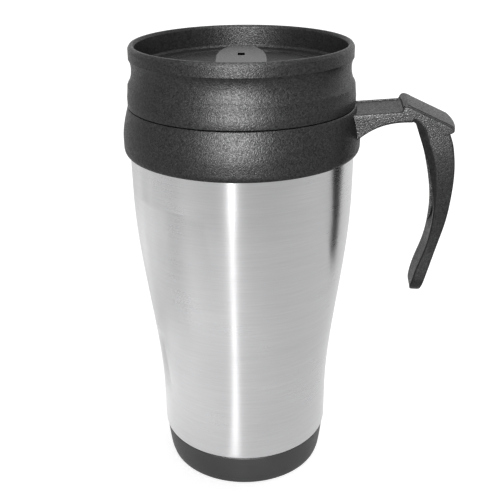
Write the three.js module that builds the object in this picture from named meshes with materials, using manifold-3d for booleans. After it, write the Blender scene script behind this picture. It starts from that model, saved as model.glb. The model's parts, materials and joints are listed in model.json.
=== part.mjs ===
// An insulated travel mug: a brushed steel shell over a plastic liner, a threaded collar with a hook
// handle, a plastic base, and a screw lid with a sliding drink closure.
//
// Millimetres, +Z up. The origin is the centre of the foot, on the surface the mug stands on. The
// handle points along +X, and the drink hole is towards -Y, nearly at a right angle to the handle.

import * as THREE from "three";
import { mergeVertices } from "three/addons/utils/BufferGeometryUtils.js";
import Module from "manifold-3d";

const wasm = await Module();
wasm.setup();

// ---------------------------------------------------------------- driving dimensions

const AROUND = 48; // facets round a turned piece
const GAP = 0.3; // clearance between neighbouring pieces
const WELD = 1e-4; // vertices closer than this are one vertex

const HEIGHT = 180; // foot to the lid's rim
const SEAM = 157.5; // top face of the collar, which the lid closes onto
const COLLAR_FOOT = 140; // lower edge of the collar
const BASE_SEAM = 14.8; // lower edge of the steel shell

const SHELL_WAIST = 36; // outer radius of the shell over the base
const SHELL_SHOULDER = 43.6; // outer radius of the shell under the collar
const FLARE_LOW = 32; // height where the shell starts to flare
const FLARE_HIGH = 124; // height where the flare ends
const SHELL_WALL = 0.6;
const SHELL_TOP = 146.9;

const LINER_FOOT = 6.5; // underside of the liner's floor
const LINER_FLOOR = 2; // thickness of the liner's floor
const LINER_FLANGE = 2; // thickness of the flange by which the liner hangs

const SPIGOT = 34.9; // outer radius of the part of the base that plugs into the shell
const PAD_RADIUS = 27.1;
const PAD_THICKNESS = 1.8;

const MOUTH = 39.2; // bore of the collar's threaded mouth
const LEDGE_TOP = 148.5; // shelf inside the collar, which the lid's gasket seals on
const LEDGE_BORE = 34.9;
const LEDGE_FOOT = 146.9;

const LID_SEAT = SEAM + GAP; // lower edge of the lid's skirt
const PLUG = 37.4; // outer radius of the lid's threaded plug
const DECK_TOP = 13.5; // deck above the lid's seat
const DECK_WALL = 2;
const DECK_FOOT = DECK_TOP - DECK_WALL;

const THREAD_LEAD = 9; // climb of the lid in one full turn
const THREAD_STARTS = 2;
const THREAD_SWEEP = (200 * Math.PI) / 180; // length of each thread, as an angle
const THREAD_STEPS = 26;

const LID_STOP = (6.5 * Math.PI) / 180; // where the closed lid stops, past square to the handle

const HANDLE_TOP = 155.8; // top of the handle's arm where it leaves the collar
const HANDLE_HALF = 11.5; // half the arm's width
const HANDLE_WALL = 2.3; // side walls of the channel inside the handle
const HANDLE_RAIL = 1.4; // width of the rails along the top of the arm
const ARM_START = 38; // X where the arm's outline begins, inside the collar
const ARM_END = 59.6; // X where the arm meets the thumb rest
const ARM_RECESS = 0.4; // depth of the recess between the arm's rails
const GRIP_END = -74.4; // bottom of the grip, from the top of the arm
const TIP_RADIUS = 6.9; // round tip of the grip, seen along X
const CHANNEL_END = -49; // where the grip's channel runs out, from the top of the arm
const PAD_SLOPE = -0.45; // fall of the thumb rest for each unit along X
const PAD_CREST = [62.4, 3.6]; // highest point of the thumb rest's rails, from the top of the arm
const SEAT_DEPTH = 1.6; // how far the thumb rest is let into the handle

const SLIDER_HALF = 9.7; // half the slider's width
const SLIDER_BACK = 24.5; // end of the slider on the +Y side, closed
const SLIDER_FRONT = -35.2; // end of the slider over the drink hole, closed
const SLIDER_END = 9; // radius of the slider's corners
const SLIDER_TRAVEL = 12;
const NECK = { halfX: 3, low: -16, high: -8 }; // block that joins the slider to its retainer
const DRINK_HOLE = { y: -29, halfX: 7, radius: 2.5 };
const VENT_AT = 8; // vent in the slider, closed; the deck's vent is one travel further back
const VENT_RADIUS = 1.2;

// ---------------------------------------------------------------- materials

function plastic(color, roughness) {
  return new THREE.MeshStandardMaterial({ color, roughness, metalness: 0 });
}

const GRAINED = plastic(0x2b2b2b, 0.6);
const GRAINED_GREY = plastic(0x3d3d3d, 0.62);
const SMOOTH_GREY = plastic(0x6e6e6e, 0.45);
const LINER_BLACK = plastic(0x1c1c1c, 0.4);
const SILICONE = plastic(0x8f8f8f, 0.75);
const RUBBER = plastic(0x1a1a1a, 0.9);
const STEEL = new THREE.MeshStandardMaterial({ color: 0xc8c8c8, roughness: 0.3, metalness: 1 });

// ---------------------------------------------------------------- solids from three.js geometry

// A closed geometry as a solid that can be joined and cut.
function solidOf(geometry) {
  const bare = geometry.index ? geometry.toNonIndexed() : geometry.clone();
  bare.deleteAttribute("normal");
  bare.deleteAttribute("uv");
  const welded = mergeVertices(bare, WELD);
  const mesh = new wasm.Mesh({
    numProp: 3,
    vertProperties: new Float32Array(welded.attributes.position.array),
    triVerts: new Uint32Array(welded.index.array),
  });
  return new wasm.Manifold(mesh);
}

// The geometry of a solid, for a THREE.Mesh.
function geometryOf(solid) {
  const mesh = solid.getMesh();
  const geometry = new THREE.BufferGeometry();
  geometry.setAttribute("position", new THREE.BufferAttribute(new Float32Array(mesh.vertProperties), 3));
  geometry.setIndex(new THREE.BufferAttribute(new Uint32Array(mesh.triVerts), 1));
  geometry.computeVertexNormals();
  return geometry;
}

function joined(solids) {
  return solids.reduce((all, next) => all.add(next));
}

function cut(solid, tools) {
  return tools.reduce((rest, tool) => rest.subtract(tool), solid);
}

// Twice the signed area inside a closed outline of Vector2 points.
function doubleArea(points) {
  return points.reduce((sum, p, i) => sum + p.cross(points[(i + 1) % points.length]), 0);
}

// A closed outline of [radius, height] points turned about +Z.
function turned(outline) {
  const points = outline.map(([radius, height]) => new THREE.Vector2(radius, height));
  if (doubleArea(points) < 0) points.reverse();
  const isRing = points.every((p) => p.x > 0);
  const loop = isRing ? [...points, points[0]] : startedOnAxis(points);
  const geometry = new THREE.LatheGeometry(loop, AROUND);
  geometry.rotateX(Math.PI / 2);
  return geometry;
}

// The same outline, listed so that it begins and ends with its two points on the axis.
function startedOnAxis(points) {
  const first = points.findIndex((p, i) => p.x === 0 && points[(i + 1) % points.length].x > 0);
  return points.map((_, i) => points[(first + i) % points.length]);
}

// An outline in the X-Z plane, as thick as width, centred on Y = 0.
function acrossY(shape, width, curveSegments = 5) {
  const geometry = new THREE.ExtrudeGeometry(shape, { depth: width, bevelEnabled: false, curveSegments });
  geometry.translate(0, 0, -width / 2);
  geometry.rotateX(Math.PI / 2);
  return geometry;
}

// An outline in the Y-Z plane, extruded along X from low to high.
function alongX(shape, low, high, curveSegments = 5) {
  const depth = high - low;
  const geometry = new THREE.ExtrudeGeometry(shape, { depth, bevelEnabled: false, curveSegments });
  geometry.rotateX(Math.PI / 2);
  geometry.rotateZ(Math.PI / 2);
  geometry.translate(low, 0, 0);
  return geometry;
}

// An outline in the X-Y plane, extruded up from low to high.
function upright(shape, low, high, curveSegments = 4) {
  const depth = high - low;
  const geometry = new THREE.ExtrudeGeometry(shape, { depth, bevelEnabled: false, curveSegments });
  geometry.translate(0, 0, low);
  return geometry;
}

function block(low, high) {
  const size = high.map((value, i) => value - low[i]);
  const geometry = new THREE.BoxGeometry(...size);
  geometry.translate(...low.map((value, i) => value + size[i] / 2));
  return geometry;
}

function rod(radius, x, y, low, high) {
  const geometry = new THREE.CylinderGeometry(radius, radius, high - low, 16);
  geometry.rotateX(Math.PI / 2);
  geometry.translate(x, y, (low + high) / 2);
  return geometry;
}

// A rectangle with rounded corners.
function roundedBox(lowX, highX, lowY, highY, radius) {
  const shape = new THREE.Shape();
  shape.moveTo(lowX + radius, lowY);
  shape.absarc(highX - radius, lowY + radius, radius, -Math.PI / 2, 0, false);
  shape.absarc(highX - radius, highY - radius, radius, 0, Math.PI / 2, false);
  shape.absarc(lowX + radius, highY - radius, radius, Math.PI / 2, Math.PI, false);
  shape.absarc(lowX + radius, lowY + radius, radius, Math.PI, 1.5 * Math.PI, false);
  return shape;
}

function piece(name, geometry, material) {
  const mesh = new THREE.Mesh(geometry, material);
  mesh.name = name;
  return mesh;
}

// ---------------------------------------------------------------- screw thread

// One thread ridge. Its section runs from the root radius to the crest radius, and both ends fade
// into the wall. It climbs to the right seen from outside, so the lid tightens clockwise.
function ridge(root, crest, startAngle, startHeight) {
  const halfRoot = 1.15;
  const halfCrest = 0.65;
  const fade = 0.12; // share of the length over which each end fades
  const section = new THREE.Shape();
  section.moveTo(0, -halfRoot);
  section.lineTo(1, -halfCrest);
  section.lineTo(1, halfCrest);
  section.lineTo(0, halfRoot);
  const bar = new THREE.ExtrudeGeometry(section, { depth: 1, steps: THREAD_STEPS, bevelEnabled: false });
  const position = bar.attributes.position;
  for (let i = 0; i < position.count; i += 1) {
    const along = crest > root ? 1 - position.getZ(i) : position.getZ(i);
    const ends = Math.min(1, 0.25 + Math.min(along, 1 - along) / fade);
    const radius = root + (crest - root) * position.getX(i) * ends;
    const angle = startAngle + THREAD_SWEEP * along;
    const height = startHeight + position.getY(i) + (THREAD_LEAD * THREAD_SWEEP * along) / (2 * Math.PI);
    position.setXYZ(i, radius * Math.cos(angle), radius * Math.sin(angle), height);
  }
  return solidOf(bar);
}

function thread(root, crest, firstAngle, startHeight) {
  const starts = [];
  for (let start = 0; start < THREAD_STARTS; start += 1) {
    const angle = firstAngle + (start * 2 * Math.PI) / THREAD_STARTS;
    starts.push(ridge(root, crest, angle, startHeight));
  }
  return joined(starts);
}

const THREAD_BITE = 0.5; // how far a ridge is sunk into the wall it stands on
const FEMALE_CREST = 38;
const MALE_CREST = 38.75;
const FEMALE_START = 151; // height of the collar's threads at their lower end
const HALF_PITCH = THREAD_LEAD / THREAD_STARTS / 2;
const MALE_START = 152; // height of the lid's threads at their lower end
// The lid's threads lie half a pitch under the collar's.
const MALE_ANGLE = ((MALE_START + HALF_PITCH - FEMALE_START) / THREAD_LEAD) * 2 * Math.PI - LID_STOP;

// ---------------------------------------------------------------- the steel shell and the liner

function smoothstep(t) {
  const x = Math.min(1, Math.max(0, t));
  return x * x * (3 - 2 * x);
}

function shellRadius(height) {
  const flare = smoothstep((height - FLARE_LOW) / (FLARE_HIGH - FLARE_LOW));
  return SHELL_WAIST + (SHELL_SHOULDER - SHELL_WAIST) * flare;
}

function outerShell() {
  const steps = 9;
  const heights = [BASE_SEAM];
  for (let i = 0; i <= steps; i += 1) {
    heights.push(FLARE_LOW + ((FLARE_HIGH - FLARE_LOW) * i) / steps);
  }
  heights.push(SHELL_TOP);
  const outside = heights.map((height) => [shellRadius(height), height]);
  const inside = heights.map((height) => [shellRadius(height) - SHELL_WALL, height]).reverse();
  return turned([...outside, ...inside]);
}

function innerLiner() {
  const rim = LEDGE_FOOT - GAP;
  const flange = rim - LINER_FLANGE;
  const groove = rim - 0.8;
  const floor = LINER_FOOT + LINER_FLOOR;
  return turned([
    [0, LINER_FOOT],
    [29, LINER_FOOT],
    [30.6, LINER_FOOT + 0.5],
    [31.3, floor + 0.1],
    [36.5, flange - 1.4],
    [37, flange],
    [41.8, flange],
    [41.8, rim],
    [39.5, rim],
    [39.5, groove],
    [38.1, groove],
    [38.1, rim],
    [LEDGE_BORE, rim],
    [34.7, flange - 1.6],
    [29.5, floor + 2.1],
    [28.8, floor + 0.5],
    [27.4, floor],
    [0, floor],
  ]);
}

// A flat ring in the groove on the liner's rim, just under the collar's ledge.
function linerSeal() {
  const [low, high] = [LEDGE_FOOT - 0.9, LEDGE_FOOT - 0.15];
  return turned([
    [38.3, low],
    [39.3, low],
    [39.3, high],
    [38.3, high],
  ]);
}

// ---------------------------------------------------------------- the base

function baseCap() {
  const foot = 0.2; // the pad stands this much proud
  const pocket = PAD_THICKNESS + GAP;
  const shoulder = BASE_SEAM - GAP;
  const groove = [BASE_SEAM + 1.6, BASE_SEAM + 4];
  const top = BASE_SEAM + 6.7;
  return turned([
    [0, pocket],
    [PAD_RADIUS + GAP, pocket],
    [PAD_RADIUS + GAP, foot],
    [32.6, foot],
    [33.5, 0.6],
    [34.1, 2],
    [34.8, 7],
    [35.5, shoulder],
    [SPIGOT, shoulder],
    [SPIGOT, groove[0]],
    [SPIGOT - 0.9, groove[0]],
    [SPIGOT - 0.9, groove[1]],
    [SPIGOT, groove[1]],
    [SPIGOT, top],
    [SPIGOT - 1.7, top],
    [SPIGOT - 2.3, pocket + 2.3],
    [SPIGOT - 3.3, pocket + 1.3],
    [0, pocket + 1.3],
  ]);
}

// A ring in the spigot's groove, with its outer edge rounded off.
function baseSeal() {
  const [inner, outer] = [SPIGOT - 0.7, SPIGOT + 0.25];
  const [low, high] = [BASE_SEAM + 1.9, BASE_SEAM + 3.7];
  return turned([
    [inner, low],
    [outer, low + 0.2],
    [outer, high - 0.2],
    [inner, high],
  ]);
}

function basePad() {
  return turned([
    [0, 0],
    [PAD_RADIUS - 0.5, 0],
    [PAD_RADIUS, 0.4],
    [PAD_RADIUS, PAD_THICKNESS],
    [0, PAD_THICKNESS],
  ]);
}

// ---------------------------------------------------------------- the collar

// The barrel-shaped outside of the collar, from its lower edge to its top face.
function collarOutside(extra = 0) {
  return [
    [44, COLLAR_FOOT],
    [45, COLLAR_FOOT + 0.7],
    [45.8, COLLAR_FOOT + 2.6],
    [45.8, COLLAR_FOOT + 6.3],
    [45.45, COLLAR_FOOT + 9.3],
    [44.85, COLLAR_FOOT + 12.3],
    [43.45, SEAM],
  ].map(([radius, height]) => [radius + extra, height]);
}

// Two windows in the collar's wall, which the handle's hooks snap into.
const HOOK = { y: 4, halfY: 1.7, low: -5.7, high: -2.8, tip: 41.55, barb: 42.2, rise: 0.9 };

function collar() {
  const cavityTop = LEDGE_FOOT + 7.3; // hollow behind the wall, which takes the handle's hooks
  const shellSeat = SHELL_TOP + 1.7;
  const body = turned([
    ...collarOutside(),
    [39.8, SEAM],
    [MOUTH, SEAM - 0.7],
    [MOUTH, LEDGE_TOP],
    [LEDGE_BORE, LEDGE_TOP],
    [LEDGE_BORE, LEDGE_FOOT],
    [41.2, LEDGE_FOOT],
    [41.2, cavityTop],
    [42.9, cavityTop],
    [42.9, shellSeat],
    [SHELL_SHOULDER + GAP, shellSeat],
    [SHELL_SHOULDER + GAP, COLLAR_FOOT],
  ]);
  const windows = [-1, 1].map((side) => {
    const middle = side * HOOK.y;
    const reach = HOOK.halfY + GAP;
    const low = [41.7, middle - reach, HANDLE_TOP + HOOK.low - GAP];
    const high = [48, middle + reach, HANDLE_TOP + HOOK.high + GAP];
    return solidOf(block(low, high));
  });
  const threads = thread(MOUTH + THREAD_BITE, FEMALE_CREST, 0, FEMALE_START);
  return geometryOf(cut(solidOf(body).add(threads), windows));
}

function collarSeal() {
  const [low, high] = [SHELL_TOP + 0.2, SHELL_TOP + 1.5];
  return turned([
    [42.2, low],
    [SHELL_SHOULDER, low],
    [SHELL_SHOULDER, high],
    [42.2, high],
  ]);
}

// ---------------------------------------------------------------- the handle

// Height of the thumb rest's rails at x, from the top of the arm.
function padLine(x) {
  return PAD_CREST[1] + PAD_SLOPE * (x - PAD_CREST[0]);
}

function splineTo(shape, points) {
  shape.splineThru(points.map(([x, z]) => new THREE.Vector2(x, z)));
}

// Side view of the handle, with heights from the top of the arm.
function handleSide() {
  const shape = new THREE.Shape();
  shape.moveTo(ARM_START, -0.2);
  shape.lineTo(ARM_END, 1.6);
  shape.bezierCurveTo(60.8, 1.75, 59.5, 4.9, 64, padLine(64));
  shape.lineTo(78.2, padLine(78.2));
  shape.bezierCurveTo(80.1, -4.4, 79.9, -6.2, 77.9, -5.8);
  splineTo(shape, [
    [79.8, -11.3],
    [81.1, -20],
    [81.2, -30],
    [80.2, -42],
    [77.2, -56],
    [73.6, GRIP_END + 2.4],
  ]);
  shape.bezierCurveTo(73.1, GRIP_END + 0.8, 72.1, GRIP_END, 71, GRIP_END);
  shape.bezierCurveTo(69.3, GRIP_END, 67.7, GRIP_END + 1.6, 68.4, GRIP_END + 4);
  splineTo(shape, [
    [70.3, -64.6],
    [73.9, -52],
    [75.1, -40],
    [74.2, -30.5],
    [71.6, -19.4],
    [67.5, -8.3],
    [65.4, -2.2],
  ]);
  shape.bezierCurveTo(57, -2.2, 49, -3.4, ARM_START, -15.4);
  return shape;
}

// Seen along X: the grip narrows downwards and ends in a round tip. Inset narrows it by a wall.
function handleFront(inset) {
  const top = HANDLE_HALF - inset;
  const tip = TIP_RADIUS - inset;
  const tipHeight = GRIP_END + TIP_RADIUS;
  const shape = new THREE.Shape();
  shape.moveTo(-top, 8);
  shape.lineTo(-top, -8);
  shape.bezierCurveTo(-top, -36, -tip, -30, -tip, tipHeight);
  shape.absarc(0, tipHeight, tip, Math.PI, 2 * Math.PI, false);
  shape.bezierCurveTo(tip, -30, top, -36, top, -8);
  shape.lineTo(top, 8);
  return shape;
}

// The channel along the inner side of the handle, which runs out on the lower half of the grip.
function channelSide() {
  const shape = new THREE.Shape();
  shape.moveTo(48, -20);
  shape.lineTo(48, -2.6);
  shape.lineTo(59.5, -1.8);
  shape.lineTo(65, -0.5);
  shape.lineTo(74, -4.4);
  splineTo(shape, [
    [77.2, -12],
    [78.4, -22],
    [78.2, -32],
    [73.8, CHANNEL_END],
  ]);
  shape.lineTo(60, CHANNEL_END);
  return shape;
}

// The shallow recess on top of the arm, which deepens into the thumb rest's seat.
function topRecess() {
  const [crest] = PAD_CREST;
  const beyond = 86; // past the nose
  const above = 12; // over everything on the handle
  const shape = new THREE.Shape();
  shape.moveTo(ARM_START, -0.2 - ARM_RECESS);
  shape.lineTo(ARM_END, 1.6 - ARM_RECESS);
  shape.lineTo(crest, padLine(crest) - SEAT_DEPTH);
  shape.lineTo(beyond, padLine(beyond) - SEAT_DEPTH);
  shape.lineTo(beyond, above);
  shape.lineTo(ARM_START, above);
  return shape;
}

function handleHook(side) {
  const middle = side * HOOK.y;
  const [low, high] = [middle - HOOK.halfY, middle + HOOK.halfY];
  const stem = block([HOOK.tip, low, HOOK.low], [46.5, high, HOOK.high]);
  const barb = block([HOOK.tip, low, HOOK.low], [HOOK.barb, high, HOOK.high + HOOK.rise]);
  return solidOf(stem).add(solidOf(barb));
}

function handle() {
  const width = 2 * HANDLE_HALF;
  const reach = [30, 90]; // far enough along X to pass the whole handle
  const outside = solidOf(acrossY(handleSide(), width)).intersect(solidOf(alongX(handleFront(0), ...reach)));
  const hollow = solidOf(acrossY(channelSide(), width)).intersect(
    solidOf(alongX(handleFront(HANDLE_WALL), ...reach)),
  );
  const recess = solidOf(acrossY(topRecess(), width - 2 * HANDLE_RAIL));
  const collarBody = turned([...collarOutside(GAP), [0, SEAM], [0, COLLAR_FOOT]]);
  collarBody.translate(0, 0, -HANDLE_TOP);
  const body = cut(outside, [hollow, recess, solidOf(collarBody)]);
  return geometryOf(joined([body, handleHook(-1), handleHook(1)]));
}

// The raised pad between the rails at the bend of the handle, with a rounded nose.
function thumbRest() {
  const width = 2 * (HANDLE_HALF - HANDLE_RAIL - GAP);
  const proud = 0.2; // height over the rails
  const front = 60.5;
  const foot = (x) => padLine(x) - SEAT_DEPTH + 1.2 * GAP;
  const shape = new THREE.Shape();
  shape.moveTo(front, 1.75);
  shape.lineTo(62.6, foot(62.6));
  shape.lineTo(79.2, foot(79.2));
  shape.bezierCurveTo(80.5, foot(80), 80.9, padLine(80), 78.4, padLine(78.4) + proud);
  shape.lineTo(64.2, padLine(64.2) + proud);
  shape.bezierCurveTo(62.2, 4.3, front, 4.3, front, 2.7);
  return acrossY(shape, width, 4);
}

// ---------------------------------------------------------------- the lid

// The lid, with heights from its seat: a gripping wall with a waist, a rim, a deck and a plug.
function lidBody() {
  const rim = HEIGHT - LID_SEAT;
  const plugFoot = -7;
  const body = turned([
    [0, DECK_TOP],
    [29, DECK_TOP],
    [29.2, DECK_TOP + 0.6],
    [29.9, DECK_TOP + 0.6],
    [30.1, DECK_TOP],
    [38.5, DECK_TOP],
    [39.2, DECK_TOP + 0.8],
    [39.7, rim - 1],
    [40.5, rim],
    [41.3, rim],
    [42, rim - 0.8],
    [42.1, 17.4],
    [41.4, 15],
    [41.25, 13],
    [41.9, 9.9],
    [42.95, 8.2],
    [43.4, 0.4],
    [43, 0],
    [41.2, 0],
    [40.9, 7.4],
    [39.2, 10.2],
    [38.9, 11.1],
    [PLUG, 11.1],
    [PLUG, plugFoot],
    [36.8, plugFoot],
    [36.8, plugFoot + 1.5],
    [35.9, plugFoot + 1.5],
    [35.9, plugFoot],
    [35.2, plugFoot],
    [35.2, DECK_FOOT],
    [0, DECK_FOOT],
  ]);
  const threads = thread(PLUG - THREAD_BITE, MALE_CREST, MALE_ANGLE, MALE_START - LID_SEAT);
  const [through, above] = [DECK_FOOT - 1, DECK_TOP + 2];
  const reach = DRINK_HOLE.halfX;
  const drink = roundedBox(
    -reach,
    reach,
    DRINK_HOLE.y - DRINK_HOLE.radius,
    DRINK_HOLE.y + DRINK_HOLE.radius,
    DRINK_HOLE.radius - 0.01,
  );
  const side = NECK.halfX + GAP;
  const slot = [
    [-side, NECK.low - GAP, through],
    [side, NECK.high + SLIDER_TRAVEL + GAP, above],
  ];
  return geometryOf(
    cut(solidOf(body).add(threads), [
      solidOf(upright(drink, through, above)),
      solidOf(block(...slot)),
      solidOf(rod(VENT_RADIUS, 0, VENT_AT + SLIDER_TRAVEL, through, above)),
    ]),
  );
}

function lidGasket() {
  const foot = LEDGE_TOP + GAP - LID_SEAT;
  return turned([
    [35.2, foot],
    [37.6, foot],
    [37.6, foot + 1.7],
    [36.6, foot + 1.7],
    [36.6, foot + 2.9],
    [36.1, foot + 2.9],
    [36.1, foot + 1.7],
    [35.2, foot + 1.7],
  ]);
}

// ---------------------------------------------------------------- the drink closure

const SLIDER_FOOT = DECK_TOP + 0.6 + GAP; // just clear of the ring on the deck
const SLIDER_TOP = SLIDER_FOOT + 1.8;
const RETAINER_TOP = DECK_FOOT - 1.4;
const RETAINER_FOOT = RETAINER_TOP - 1.6;

function slider() {
  const plate = roundedBox(-SLIDER_HALF, SLIDER_HALF, SLIDER_FRONT, SLIDER_BACK, SLIDER_END);
  const neckFoot = RETAINER_FOOT - GAP;
  const neck = block([-NECK.halfX, NECK.low, neckFoot - 1], [NECK.halfX, NECK.high, SLIDER_FOOT + 0.5]);
  const barbHalf = NECK.halfX + 1;
  const barb = block([-barbHalf, NECK.low, neckFoot - 1], [barbHalf, NECK.high, neckFoot]);
  const grips = [-20, -17.5, -15].map((y) =>
    solidOf(block([-6, y - 0.5, SLIDER_TOP - 0.3], [6, y + 0.5, SLIDER_TOP + 0.8])),
  );
  const body = joined([
    solidOf(upright(plate, SLIDER_FOOT, SLIDER_TOP)),
    solidOf(neck),
    solidOf(barb),
    ...grips,
  ]);
  const vent = block([-1.3, VENT_AT - 2, DECK_TOP], [1.3, VENT_AT + 2, SLIDER_TOP + 2]);
  return geometryOf(cut(body, [solidOf(vent)]));
}

function sliderRetainer() {
  const plate = roundedBox(-8.5, 8.5, -33, -4, 3);
  const socket = block(
    [-NECK.halfX - GAP, NECK.low - GAP, RETAINER_FOOT - 2],
    [NECK.halfX + GAP, NECK.high + GAP, RETAINER_TOP + 2],
  );
  return geometryOf(cut(solidOf(upright(plate, RETAINER_FOOT, RETAINER_TOP)), [solidOf(socket)]));
}

function sliderSeal() {
  const pad = roundedBox(-8.5, 8.5, DRINK_HOLE.y - 4, DRINK_HOLE.y + 4, 3);
  return upright(pad, RETAINER_TOP + 0.1, DECK_FOOT - 0.1);
}

// ---------------------------------------------------------------- assembly

const closure = new THREE.Group();
closure.add(
  piece("slider", slider(), SMOOTH_GREY),
  piece("slider_retainer", sliderRetainer(), LINER_BLACK),
  piece("slider_seal", sliderSeal(), SILICONE),
);

const lid = new THREE.Group();
lid.position.z = LID_SEAT;
lid.rotation.z = LID_STOP;
lid.add(piece("lid_body", lidBody(), GRAINED), piece("lid_gasket", lidGasket(), SILICONE), closure);

const grip = new THREE.Group();
grip.position.z = HANDLE_TOP;
grip.add(piece("handle", handle(), GRAINED_GREY), piece("thumb_rest", thumbRest(), GRAINED_GREY));

const mug = new THREE.Group();
mug.add(
  piece("outer_shell", outerShell(), STEEL),
  piece("inner_liner", innerLiner(), LINER_BLACK),
  piece("collar", collar(), GRAINED),
  piece("collar_seal", collarSeal(), SILICONE),
  piece("liner_seal", linerSeal(), SILICONE),
  piece("base_cap", baseCap(), GRAINED_GREY),
  piece("base_seal", baseSeal(), SILICONE),
  piece("base_pad", basePad(), RUBBER),
  grip,
  lid,
);

export default mug;
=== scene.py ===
"""The looks of the insulated travel mug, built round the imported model.

Lengths are in millimetres in the outlines and are turned into metres when a mesh is made. Heights and
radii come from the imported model's boxes; the numbers beside them are the shape between those boxes.
"""

import json
import math

import bmesh
import bpy
from mathutils import Matrix, Vector


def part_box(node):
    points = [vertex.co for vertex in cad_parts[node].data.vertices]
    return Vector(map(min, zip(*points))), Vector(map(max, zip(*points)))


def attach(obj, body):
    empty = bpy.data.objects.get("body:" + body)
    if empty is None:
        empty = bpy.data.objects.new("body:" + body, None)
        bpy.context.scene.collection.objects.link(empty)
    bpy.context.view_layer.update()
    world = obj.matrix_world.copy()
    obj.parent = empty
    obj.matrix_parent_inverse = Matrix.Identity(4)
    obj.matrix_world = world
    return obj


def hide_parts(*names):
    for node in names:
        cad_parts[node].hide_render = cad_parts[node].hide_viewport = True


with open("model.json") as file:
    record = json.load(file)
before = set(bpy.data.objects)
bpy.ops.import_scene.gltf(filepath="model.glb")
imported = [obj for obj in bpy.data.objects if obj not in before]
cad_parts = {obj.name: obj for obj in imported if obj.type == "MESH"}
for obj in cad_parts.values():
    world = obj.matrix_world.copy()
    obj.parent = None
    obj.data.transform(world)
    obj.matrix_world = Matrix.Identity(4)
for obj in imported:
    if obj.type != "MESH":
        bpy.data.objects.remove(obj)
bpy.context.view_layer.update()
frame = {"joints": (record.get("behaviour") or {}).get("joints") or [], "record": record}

# ---------------------------------------------------------------- sizes from the frame

MM = 0.001
AROUND = 288  # facets round a turned piece
SHARP_ANGLE = math.radians(32)  # edges that bend more than this stay sharp
GAP = 0.3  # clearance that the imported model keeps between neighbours


def extent(node):
    """Largest radius, foot and top of a CAD node, in millimetres."""
    low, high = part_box(node)
    return high.y / MM, low.z / MM, high.z / MM


SHELL_SHOULDER, SHELL_FOOT, SHELL_TOP = extent("outer_shell")
COLLAR_RADIUS, COLLAR_FOOT, SEAM = extent("collar")
LID_RADIUS, PLUG_FOOT, RIM = extent("lid_body")
BASE_RADIUS, BASE_FOOT, BASE_TOP = extent("base_cap")
HANDLE_HALF, HANDLE_TIP, _ = extent("handle")
THREAD_LEAD = 2 * math.pi * frame["record"]["behaviour"]["couplings"][0]["ratio"] / MM

LID_SEAT = SEAM + GAP
DECK = LID_SEAT + 13.5
DECK_FOOT = DECK - 2
PLUG = 37.4  # radius of the lid's plug
MOUTH = 39.2  # radius of the collar's mouth
LEDGE = SEAM - 9  # the collar's ledge, which the lid's gasket seals on
LEDGE_BORE = 34.9
LEDGE_FOOT = LEDGE - 1.6

slide = next(joint for joint in frame["joints"] if joint["name"] == "slider_slide")
LID_STOP = math.atan2(-slide["axis"][0], slide["axis"][1])  # how far the closed lid is turned

# ---------------------------------------------------------------- outlines


def between(start, end, share):
    """The value a share of the way from start to end, held at both ends."""
    return start + (end - start) * min(1, max(0, share))


def eased(share):
    """A share from 0 to 1 that starts and stops gently."""
    share = between(0, 1, share)
    return share * share * (3 - 2 * share)


def bezier(a, b, c, d, steps=16):
    """Points along a cubic curve, without its first point."""
    points = []
    for i in range(1, steps + 1):
        t = i / steps
        s = 1 - t
        weights = (s**3, 3 * s * s * t, 3 * s * t * t, t**3)
        points.append(tuple(sum(w * p[k] for w, p in zip(weights, (a, b, c, d))) for k in (0, 1)))
    return points


def spline(points, steps=10):
    """A Catmull-Rom curve through the points."""
    ends = [2 * Vector(points[0]) - Vector(points[1])]
    ends += [Vector(p) for p in points]
    ends.append(2 * Vector(points[-1]) - Vector(points[-2]))
    curve = [tuple(points[0])]
    for p, q, r, s in zip(ends, ends[1:], ends[2:], ends[3:]):
        for i in range(1, steps + 1):
            t = i / steps
            bent = 2 * q + (r - p) * t + (2 * p - 5 * q + 4 * r - s) * t**2 + (3 * q - p - 3 * r + s) * t**3
            curve.append(tuple(bent / 2))
    return curve


def along(curve, share):
    """The point at a share of a polyline's length."""
    spans = [(Vector(b) - Vector(a)).length for a, b in zip(curve, curve[1:])]
    left = share * sum(spans)
    for a, b, span in zip(curve, curve[1:], spans):
        if left <= span:
            return Vector(a).lerp(Vector(b), left / span if span else 0)
        left -= span
    return Vector(curve[-1])


def fillet(before, corner, after, radius, steps=5):
    """An arc that rounds a corner of an outline. A radius of 0 keeps the corner."""
    corner = Vector(corner)
    back = Vector(before) - corner
    ahead = Vector(after) - corner
    if radius <= 0 or back.length < 1e-6 or ahead.length < 1e-6:
        return [tuple(corner)] * (steps + 1 if radius > 0 else 1)
    half = back.angle(ahead) / 2
    reach = min(radius / math.tan(half), 0.49 * back.length, 0.49 * ahead.length)
    start = corner + back.normalized() * reach
    end = corner + ahead.normalized() * reach
    arc = []
    for i in range(steps + 1):
        t = i / steps
        arc.append(tuple((1 - t) ** 2 * start + 2 * t * (1 - t) * corner + t**2 * end))
    return arc


def rounded(outline, steps=5):
    """A closed outline of (x, y) or (x, y, corner radius) points, with its corners rounded."""
    points = []
    for i, point in enumerate(outline):
        before = outline[i - 1][:2]
        after = outline[(i + 1) % len(outline)][:2]
        radius = point[2] if len(point) > 2 else 0
        points += fillet(before, point[:2], after, radius, steps)
    return points


# ---------------------------------------------------------------- meshes


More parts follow.
